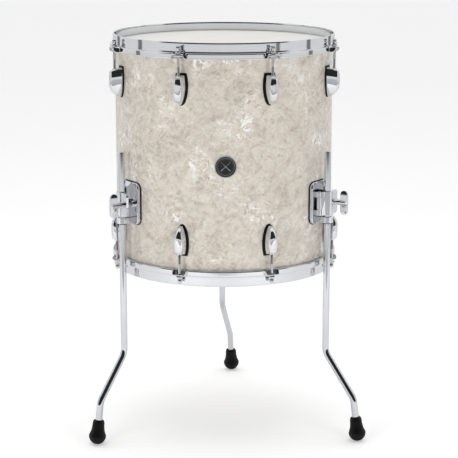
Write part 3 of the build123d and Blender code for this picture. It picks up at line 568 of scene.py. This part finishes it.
def hoop(name, low_end):
    """Steel bent through a rim, a step and a skirt that flares into eight ears."""
    flat, turned = 10.2 * MM, 15.8 * MM  # from an ear's middle to where it starts and ends to turn down
    near = [0, 4, 8, 9.6, 10.4, 11.2, 12, 12.8, 13.6, 14.4, 15.2, 16.2, 18]
    marks = []
    for azimuth in LUG_AZIMUTHS:
        for distance in near:
            for sign in ((1, -1) if distance else (1,)):
                marks.append((azimuth + sign * math.degrees(distance * MM / SKIRT_OUTSIDE), distance * MM))
        for n in range(13):
            marks.append((azimuth + 22.5 + (n - 6) * 2.7, 30 * MM))
    marks.sort()
    build = Build()
    rings = []
    for azimuth, distance in marks:
        flare = 1 - ease((distance - flat) / (turned - flat))
        rings.append([spot(azimuth, r, 0, flip(low_end, z)) for r, z in hoop_section(flare)])
    build.skin(rings, along=True)
    build.finish(name, "hoop_chrome", "drum", name)


def head(name, low_end, slot):
    """The film: flat over the edge, round into its collar, down inside the hoop to the flesh hoop."""
    film = FILM_THICKNESS
    inside, top = WRAP_RADIUS + FILM_GAP, SHELL_TOP + film
    bend, foot = 3.2 * MM, HOOP_STEP - HOOP_METAL - FLESH_HOOP_HEIGHT
    outer = [(r, top) for r in (0.0001, 0.05, 0.1, 0.15, 0.185, inside + film - bend - 6 * MM)]
    outer += arc(inside + film - bend, top - bend, bend, 90, 0, 6) + [(inside + film, foot)]
    inner = [(inside, foot)] + arc(inside + film - bend, top - bend, bend - film, 0, 90, 6)
    inner += [(0.15, SHELL_TOP), (0.0001, SHELL_TOP)]
    build = Build()
    outline = [(r, flip(low_end, z)) for r, z in outer + inner]
    build.skin(lathe(outline, 160, about_drum), along=True)
    build.finish(name, slot, "drum", name)


def flesh_hoop(name, low_end):
    """The rolled aluminium channel at the film's foot."""
    seat = HOOP_STEP - HOOP_METAL
    low, inside = seat - FLESH_HOOP_HEIGHT, WRAP_RADIUS + FILM_GAP + FILM_THICKNESS
    outside = inside + FLESH_HOOP_WIDTH
    outline = [(inside, low + 1 * MM), (inside + 1 * MM, low), (outside - 1.6 * MM, low)]
    outline += arc(outside - 1.6 * MM, low + 1.6 * MM, 1.6 * MM, -90, 0, 4)
    groove = outside - 0.7 * MM
    outline += [(outside, seat - 3 * MM), (groove, seat - 2.4 * MM), (groove, seat - 1.6 * MM),
                (outside, seat - 1 * MM), (outside - 0.3 * MM, seat), (inside, seat)]
    build = Build()
    build.skin(lathe([(r, flip(low_end, z)) for r, z in outline], 128, about_drum), along=True)
    build.finish(name, "flesh_hoop_aluminium", "drum", name)


def wrap():
    """The celluloid sheet, its ends lapped at the back of the drum."""
    low, high = wrap_low.z, wrap_high.z
    inside, outside, edge = WRAP_RADIUS - 0.5 * MM, WRAP_RADIUS, 0.15 * MM
    seam, lap, start = WRAP_SEAM, WRAP_LAP, WRAP_SEAM - 360
    rings, steps = [], 240
    for step in range(steps + 1):
        azimuth = start - lap + (360 + lap) * step / steps
        under = ease((azimuth - (start + 1.5)) / 3.0)
        lift = 0.45 * MM * ease((azimuth - (seam - lap - 3)) / 3.0) if under >= 1 else 0.0
        sheet = [(inside + lift, low + edge), (inside + lift, high - edge), (inside + lift + edge, high),
                 (outside + lift - edge, high), (outside + lift, high - edge)]
        sheet += [(outside + lift, low + (high - low) * n / 6) for n in (5, 4, 3, 2, 1)]
        sheet += [(outside + lift, low + edge), (outside + lift - edge, low), (inside + lift + edge, low)]
        rings.append([spot(azimuth, r, 0, z) for r, z in sheet])
    build = Build()
    build.skin(rings, caps=True)
    build.finish("pearl_wrap", "pearl_wrap", "drum", "pearl_wrap")


# ======================================================================= lugs and rods
def lug_half(along):
    """Half the width of the teardrop: blunt at the tip, widest past the middle."""
    if along < LUG_BELLY:
        return 10.0 * MM * math.sin(math.pi / 2 * along / LUG_BELLY) ** 0.55
    return (10.0 - 2.2 * ((along - LUG_BELLY) / (LUG_LENGTH - LUG_BELLY)) ** 2) * MM


def lug_deep(along):
    """How far the spine stands out: full soon after the tip, easing back a little to the end."""
    if along < LUG_SPINE:
        return LUG_DEPTH * math.sin(math.pi / 2 * along / LUG_SPINE) ** 0.5
    return LUG_DEPTH - 1.1 * MM * ((along - LUG_SPINE) / (LUG_LENGTH - LUG_SPINE)) ** 1.5


# one side of a lug's cross-section, from the shell to the spine, as shares of half width and depth
LUG_HALF_SECTION = [(1.0, 0.0), (0.975, 0.25), (0.94, 0.5), (0.885, 0.72), (0.83, 0.815), (0.76, 0.88),
                    (0.67, 0.925), (0.55, 0.955), (0.4, 0.98), (0.2, 0.996), (0.0, 1.0)]


def lug_ring(along, inset=0.0, lift=0.0):
    """One cross-section: drafted sides, a ridge and a crowned front, as (out, across, up)."""
    half = max(lug_half(along) - inset, 0.4 * MM)
    deep = max(lug_deep(along) - inset, 0.4 * MM)
    slant = LUG_END_SLOPE / LUG_DEPTH * ease((along - 34 * MM) / (20 * MM))
    outline = LUG_HALF_SECTION + [(-a, o) for a, o in reversed(LUG_HALF_SECTION[:-1])]
    return [(LUG_SEAT + o * deep, a * half, LUG_TIP + along + lift - slant * o * deep) for a, o in outline]


def lug(name, azimuth, low_end):
    """The cast teardrop, its flat end chamfered, with a collar where the rod goes in."""
    build = Build()
    stations = [1.3, 1.6, 2.2, 3.2, 4.6, 6.4, 8.6, 11, 14, 17.5, 21]
    stations += [25, 29, 33, 36, 39, 42, 45, 48, 50.5, 52.6]
    sections = [lug_ring(s * MM) for s in stations]
    sections += [lug_ring(LUG_LENGTH, 0.3 * MM, -0.35 * MM), lug_ring(LUG_LENGTH, 0.8 * MM, 0)]
    rings = [[spot(azimuth, o, a, flip(low_end, u)) for o, a, u in section] for section in sections]
    build.skin(rings, caps=True)
    mouth = LUG_TIP + LUG_LENGTH - LUG_END_SLOPE * (ROD_CIRCLE - LUG_SEAT) / LUG_DEPTH
    collar = [(3.3, -1.5), (3.3, 1.2), (3.7, 1.6), (4.6, 1.6), (5.0, 1.2), (5.0, -1.5)]
    outline = [(r * MM, flip(low_end, mouth + z * MM)) for r, z in collar]
    build.skin(lathe(outline, 28, about_rod(azimuth)), along=True)
    build.finish(name, "lug_chrome", "drum", name, sharp=40)


def lug_gaskets():
    """Black pads that follow the shell, with a soft rim showing round each lug, widened to stand partly for
    the shadow in the gap under the lug (painted shadow).
    """
    build = Build()
    stations = [1.6, 2.2, 3.2, 5, 8, 12, 16, 20, 25, 30, 34, 38, 43, 48, 54]
    for low_end in (False, True):
        for azimuth in LUG_AZIMUTHS:
            layers = []
            # the rim, 2.9 to 3 mm past the lug, is partly the gasket and partly painted shadow of the gap
            # under the lug
            for rim, share in ((2.9, 0.0), (3.0, 0.3), (2.7, 0.8), (2.0, 1.0), (0.0, 1.0)):
                right = [(lug_half(s * MM) + rim * MM, s * MM) for s in stations]
                right += [(right[-1][0] - 0.6 * MM, LUG_LENGTH + rim * MM)]
                left = [(-a, s) for a, s in reversed(right)]
                loop = right + left + [(-1.6 * MM, (1.6 - rim) * MM), (1.6 * MM, (1.6 - rim) * MM)]
                ring = []
                for across, along in loop:
                    base = math.sqrt(WRAP_RADIUS ** 2 - across ** 2) + 0.02 * MM
                    out = base + (LUG_SEAT - base) * share
                    ring.append(spot(azimuth, out, across, flip(low_end, LUG_TIP + along)))
                layers.append(ring)
            build.skin(layers, caps=True)
    build.finish("lug_gaskets", "gasket_rubber", "drum", "lug_gaskets", sharp=50)


def rods(name, low_end):
    """Key rods: square heads on turned collars, shanks with the thread showing near the lug."""
    build = Build()
    seat = HOOP_STEP + 1.5 * MM
    end = LUG_TIP + LUG_LENGTH - 29 * MM
    thread_top = LUG_TIP + LUG_LENGTH + 16 * MM
    turns = int((thread_top - end) / (0.8 * MM))
    shank = [(0.1, end), (2.3, end)]
    for n in range(turns):
        low = (thread_top - end) * n / turns + end
        shank += [(2.35, low), (2.7, low + 0.3 * MM), (2.7, low + 0.42 * MM)]
    shank += [(2.75, thread_top), (2.75, seat)]
    collar = [(5.0, seat), (5.0, seat + 1.0 * MM), (4.7, seat + 1.5 * MM), (4.0, seat + 1.9 * MM),
              (3.6, seat + 3.0 * MM), (0.1, seat + 3.0 * MM)]
    for azimuth in LUG_AZIMUTHS:
        outline = [(r * MM, flip(low_end, z)) for r, z in shank + collar]
        build.skin(lathe(outline, 20, about_rod(azimuth)), along=True)
        levels = [(2.9, 0.0), (3.15, 0.5), (3.15, 6.6), (2.95, 7.4), (2.3, 8.0)]
        corner = 0.22
        rings = []
        for half, lift in levels:
            square = []
            for sx, sy in ((1, 1), (-1, 1), (-1, -1), (1, -1)):
                pair = [(sx * half, sy * half * (1 - corner)), (sx * half * (1 - corner), sy * half)]
                square += pair if sx * sy > 0 else pair[::-1]
            up = flip(low_end, seat + (3.0 + lift) * MM)
            rings.append([spot(azimuth, ROD_CIRCLE + x * MM, y * MM, up) for x, y in square])
        build.skin(rings, caps=True)
    build.finish(name, "rod_chrome", "drum", name, sharp=40)


def rod_washers():
    """A rounded washer under each key rod's collar."""
    build = Build()
    outline = [(2.95, 0.0), (5.4, 0.0), (5.8, 0.35), (5.8, 1.1), (5.4, 1.5), (3.3, 1.5), (2.95, 1.2)]
    for low_end in (False, True):
        for azimuth in LUG_AZIMUTHS:
            ring = [(r * MM, flip(low_end, HOOP_STEP + z * MM)) for r, z in outline]
            build.skin(lathe(ring, 28, about_rod(azimuth)), along=True)
    build.finish("tension_rod_washers", "rod_chrome", "drum", "tension_rod_washers")


# ======================================================================= legs and feet
def leg_line():
    """The centre line in the leg's own plane, as (reach, height), with its two bends rounded."""
    reach_end = BEND_REACH + (LOWER_BEND - FOOT_WALL) * math.tan(END_LEAN)
    corners = [(0, LEG_TOP), (0, UPPER_BEND), (BEND_REACH, LOWER_BEND), (reach_end, FOOT_WALL)]
    line = [corners[0]]
    for before, corner, after in zip(corners, corners[1:], corners[2:]):
        b, c, a = Vector(before), Vector(corner), Vector(after)
        come, go = (b - c).normalized(), (a - c).normalized()
        half = come.angle(go) / 2
        cut = BEND_RADIUS / math.tan(half)
        centre = c + (come + go).normalized() * (BEND_RADIUS / math.sin(half))
        start, end = c + come * cut - centre, c + go * cut - centre
        sweep = start.angle_signed(end)
        for step in range(13):
            turn = Matrix.Rotation(-sweep * step / 12, 2)
            line.append(tuple(centre + turn @ start))
    line.append(corners[-1])
    return line


def stand(side, reach, across, up):
    """A point of a leg, from its own plane to its place round the drum."""
    turn = math.radians(LEG_TURNS[side])
    out = reach * math.cos(turn) - across * math.sin(turn)
    round_ = reach * math.sin(turn) + across * math.cos(turn)
    return spot(LEG_AZIMUTHS[side], LEG_CIRCLE + out, round_, up)


def leg(side):
    """Half-inch steel bent twice, its upper end turned to a dome."""
    line = leg_line()
    count, rings = 32, []
    tips = [(0.0, 3.2), (0.1, 4.6), (0.45, 5.6), (1.1, 6.2), (2.0, 6.35)]
    path = [(0.0, LEG_TOP - d * MM, r * MM) for d, r in tips]
    path += [(x, z, LEG_RADIUS) for x, z in line[1:-1]]
    path += [(line[-1][0], line[-1][1], LEG_RADIUS)]
    for index, (x, z, radius) in enumerate(path):
        before, after = path[max(index - 1, 0)], path[min(index + 1, len(path) - 1)]
        run = Vector((after[0] - before[0], after[1] - before[1])).normalized()
        across = (-run.y, run.x)
        ring = []
        for step in range(count):
            turn = 2 * math.pi * step / count
            shift = radius * math.cos(turn)
            ring.append(stand(side, x + across[0] * shift, radius * math.sin(turn), z + across[1] * shift))
        rings.append(ring)
    build = Build()
    build.skin(rings, caps=True)
    build.finish(f"{side}_leg", "leg_chrome", f"{side}_leg", f"{side}_leg", sharp=50)


def foot(side):
    """A bell of black rubber: a rolled mouth, a tapered neck and a ball worn flat underneath."""
    ball, neck = 16.0, 11.0
    tall = 46.0 - ball
    profile = [(6.5, tall - 7.0), (6.5, tall - 0.9), (7.0, tall - 0.2), (7.8, tall), (8.4, tall - 0.1)]
    profile += [(9.3, tall - 0.9), (10.2, tall - 2.4), (10.8, tall - 4.0), (neck, tall - 5.4)]
    profile += [(11.2, 20.0), (11.6, 16.0), (12.1, 12.0), (12.9, 8.6), (14.1, 5.4), (15.2, 2.9), (15.85, 1.2)]
    for step in range(11):
        turn = math.radians(90 * step / 10)
        profile.append((max(ball * math.cos(turn), 0.02), -ball * math.sin(turn)))
    base_z = ball - 0.5
    base_x = BEND_REACH / MM + (LOWER_BEND / MM - base_z) * math.tan(END_LEAN)
    rings = []
    for radius, height in profile:
        ring = []
        for step in range(40):
            turn = 2 * math.pi * step / 40
            x, y = radius * math.cos(turn), radius * math.sin(turn)
            reach = base_x + x * math.cos(END_LEAN) - height * math.sin(END_LEAN)
            up = base_z + x * math.sin(END_LEAN) + height * math.cos(END_LEAN)
            ring.append(stand(side, reach * MM, y * MM, max(up, 0.0) * MM))
        rings.append(ring)
    build = Build()
    build.skin(rings, caps=True)
    build.finish(f"{side}_rubber_foot", "foot_rubber", f"{side}_leg", f"{side}_rubber_foot", sharp=60)


# ======================================================================= badge
def on_shell(across, up, stand_off):
    """A point on the front of the shell, bent round with it."""
    radius = WRAP_RADIUS + stand_off
    return spot(math.degrees(across / WRAP_RADIUS), radius, 0, MID_HEIGHT + up)


def badge():
    """A black enamel disc with a plated rim and a plain crossed-sticks emblem of thin raised metal."""
    steps = 64

    def rings(levels):
        turns = [2 * math.pi * n / steps for n in range(steps)]
        return [[on_shell(r * MM * math.cos(turn), r * MM * math.sin(turn), lift * MM) for turn in turns]
                for r, lift in levels]

    plate = Build()
    plate.skin(rings([(19.0, 0.02), (19.0, 0.9), (18.0, 1.0), (14.0, 1.05), (8.0, 1.08), (0.3, 1.1)]),
               caps=True)
    plate.finish("badge_plate", "badge_enamel", "drum", "badge")
    rim = Build()
    rim.skin(rings([(18.2, 0.3), (18.2, 1.2), (18.5, 1.45), (19.3, 1.45), (19.8, 1.0), (19.8, 0.05)]))
    rim.skin(rings([(15.6, 1.0), (15.6, 1.25), (16.1, 1.25), (16.1, 1.0)]))

    def bar(start, end, widths, lift=1.28):
        a, b = Vector(start), Vector(end)
        run = (b - a).normalized()
        side = Vector((-run.y, run.x))
        sections = []
        for share, width in widths:
            middle = a.lerp(b, share)
            sections.append([
                on_shell((middle.x + side.x * w) * MM, (middle.y + side.y * w) * MM, h)
                for w, h in ((-width, 1.0 * MM), (-width * 0.6, lift * MM), (width * 0.6, lift * MM),
                             (width, 1.0 * MM))])
        rim.skin(sections, caps=True)

    stick = [(0.0, 0.75), (0.3, 0.7), (0.75, 0.45), (0.88, 0.22), (0.9, 0.45), (0.95, 0.6), (1.0, 0.3)]
    bar((-8.6, -8.0), (8.6, 8.0), stick)
    bar((8.6, -8.0), (-8.6, 8.0), stick)
    for n in range(24):
        turn = 2 * math.pi * n / 24
        c, s = math.cos(turn), math.sin(turn)
        bar((c * 13.0, s * 13.0), (c * 14.4, s * 14.4), [(0.0, 0.28), (1.0, 0.28)], 1.2)
    rim.finish("badge_rim", "pin_steel", "drum", sharp=40)


for low_end, end_name in ((False, "batter"), (True, "resonant")):
    hoop(f"{end_name}_hoop", low_end)
    head(f"{end_name}_head_film", low_end, "clear_film" if low_end else "coated_film")
    flesh_hoop(f"{end_name}_flesh_hoop", low_end)
    rods(f"{end_name}_tension_rods", low_end)
    for number, lug_azimuth in enumerate(LUG_AZIMUTHS, start=1):
        lug(f"{end_name}_lug_{number}", lug_azimuth, low_end)
lug_gaskets()
rod_washers()
wrap()
badge()
for leg_side in SIDES:
    leg(leg_side)
    foot(leg_side)
    polish(f"{leg_side}_bracket_base", f"{leg_side}_bracket_base", "bracket_chrome", "drum", 0.0007)
    polish(f"{leg_side}_clamp_gate", f"{leg_side}_clamp_gate", "bracket_chrome", f"{leg_side}_gate", 0.0006)
    polish(f"{leg_side}_clamp_washer", f"{leg_side}_clamp_washer", "rod_chrome", f"{leg_side}_washer", 0.0003)
    polish(f"{leg_side}_wing_nut", f"{leg_side}_wing_nut", "wing_chrome", f"{leg_side}_wing", 0.0008, 3)
    polish(f"{leg_side}_leg_bush", f"{leg_side}_leg_bush", "bush_nylon", f"{leg_side}_bush", 0.0003)
polish("clamp_studs", "clamp_studs", "pin_steel", "drum", 0.0004)
polish("gate_hinge_pins", "gate_hinge_pins", "pin_steel", "drum", 0.0003)


# ======================================================================= studio
def studio():
    bpy.ops.mesh.primitive_plane_add(size=1, location=(0, 4.6, -0.0005))
    floor = bpy.context.object
    floor.name = "floor"
    floor.scale = (8.0, 12.4, 1)
    s = Shader("floor_paint")
    soft = s.noise(1.2, s.place(), detail=2.0)
    colour = s.ramp(soft.outputs["Fac"], (0.3, 0.93), (0.7, 0.95))
    glow = s.math("MULTIPLY_ADD", s.add("ShaderNodeLightPath").outputs["Is Camera Ray"], 0.22, 0.06)
    floor.data.materials.append(s.finish(Base__Color=colour, Roughness=0.9,
                                         Emission__Color=(1, 1, 1, 1), Emission__Strength=glow))

    world = bpy.data.worlds.new("studio")
    bpy.context.scene.world = world
    world.use_nodes = True
    s = Shader.__new__(Shader)
    s.tree = world.node_tree
    s.tree.nodes.clear()
    direction = s.add("ShaderNodeTexCoord").outputs["Generated"]
    split = s.add("ShaderNodeSeparateXYZ", {"Vector": direction})
    height = split.outputs["Z"]
    azimuth = s.math("MULTIPLY", s.math("ARCTAN2", split.outputs["X"],
                                        s.math("MULTIPLY", split.outputs["Y"], -1.0)), 180 / math.pi)

    def between(value, low, high, soft):
        """1 inside a span of values, 0 outside it, with soft ends."""
        up = s.add("ShaderNodeMapRange", {"Value": value, "From Min": low - soft, "From Max": low + soft},
                   interpolation_type="SMOOTHSTEP").outputs[0]
        down = s.add("ShaderNodeMapRange", {"Value": value, "From Min": high - soft, "From Max": high + soft},
                     interpolation_type="SMOOTHSTEP").outputs[0]
        return s.math("MULTIPLY", up, s.math("SUBTRACT", 1.0, down))

    sky = s.ramp(s.math("MULTIPLY_ADD", height, 0.5, 0.5), (0.35, 0.5), (0.425, 0.56), (0.44, 0.8),
                 (0.6, 0.86), (1.0, 0.95))
    # the dark front of the room, above the level of the drum
    dark = s.math("MULTIPLY", between(height, -0.02, 0.88, 0.02), between(azimuth, -68, 68, 4))
    # dark stands beside and behind the drum, as azimuth and half width, that only reflections show
    for middle, half in ((-96, 3), (96, 3), (56, 2.5), (-140, 4), (140, 4)):
        stand_strip = s.math("MULTIPLY", between(height, -0.6, 0.5, 0.02),
                             between(azimuth, middle - half, middle + half, 0.8))
        dark = s.math("MAXIMUM", dark, s.math("MULTIPLY", stand_strip, 0.75))
    sky = s.math("MULTIPLY", sky, s.math("SUBTRACT", 1.0, s.math("MULTIPLY", dark, 0.97)))
    seen = s.add("ShaderNodeLightPath").outputs["Is Camera Ray"]
    shown = s.mix(seen, sky, (1, 1, 1, 1))
    background = s.add("ShaderNodeBackground", {"Color": shown, "Strength": 1.0})
    s.put(s.add("ShaderNodeOutputWorld").inputs["Surface"], background)

    def panel(name, place, target, size, power):
        data = bpy.data.lights.new(name, "AREA")
        data.shape = "RECTANGLE"
        data.size, data.size_y = size
        data.energy = power
        light = bpy.data.objects.new(name, data)
        light.location = place
        aim = Vector(target) - Vector(place)
        light.rotation_euler = aim.to_track_quat("-Z", "Y").to_euler()
        light.visible_glossy = False
        bpy.context.scene.collection.objects.link(light)

    middle = (AXIS.x, AXIS.y, MID_HEIGHT)
    panel("key", (-1.7, -2.6, 0.9), middle, (1.4, 1.4), 34)
    panel("fill", (1.7, -2.6, 0.9), middle, (1.4, 1.4), 30)
    panel("top", (0, 0.2, 3.2), middle, (2.4, 2.4), 12)


def camera():
    data = bpy.data.cameras.new("camera")
    data.lens = CAMERA_LENS
    data.sensor_width = SENSOR
    data.clip_end = 100
    eye = bpy.data.objects.new("camera", data)
    azimuth = math.radians(CAMERA_AZIMUTH)
    eye.location = (AXIS.x + CAMERA_DISTANCE * math.sin(azimuth),
                    AXIS.y - CAMERA_DISTANCE * math.cos(azimuth), CAMERA_HEIGHT)
    turn = azimuth - math.radians(CAMERA_YAW)
    eye.rotation_euler = (math.radians(90 - CAMERA_PITCH), 0, turn)
    bpy.context.scene.collection.objects.link(eye)
    bpy.context.scene.camera = eye


studio()
camera()
bpy.context.scene.view_settings.view_transform = "Standard"
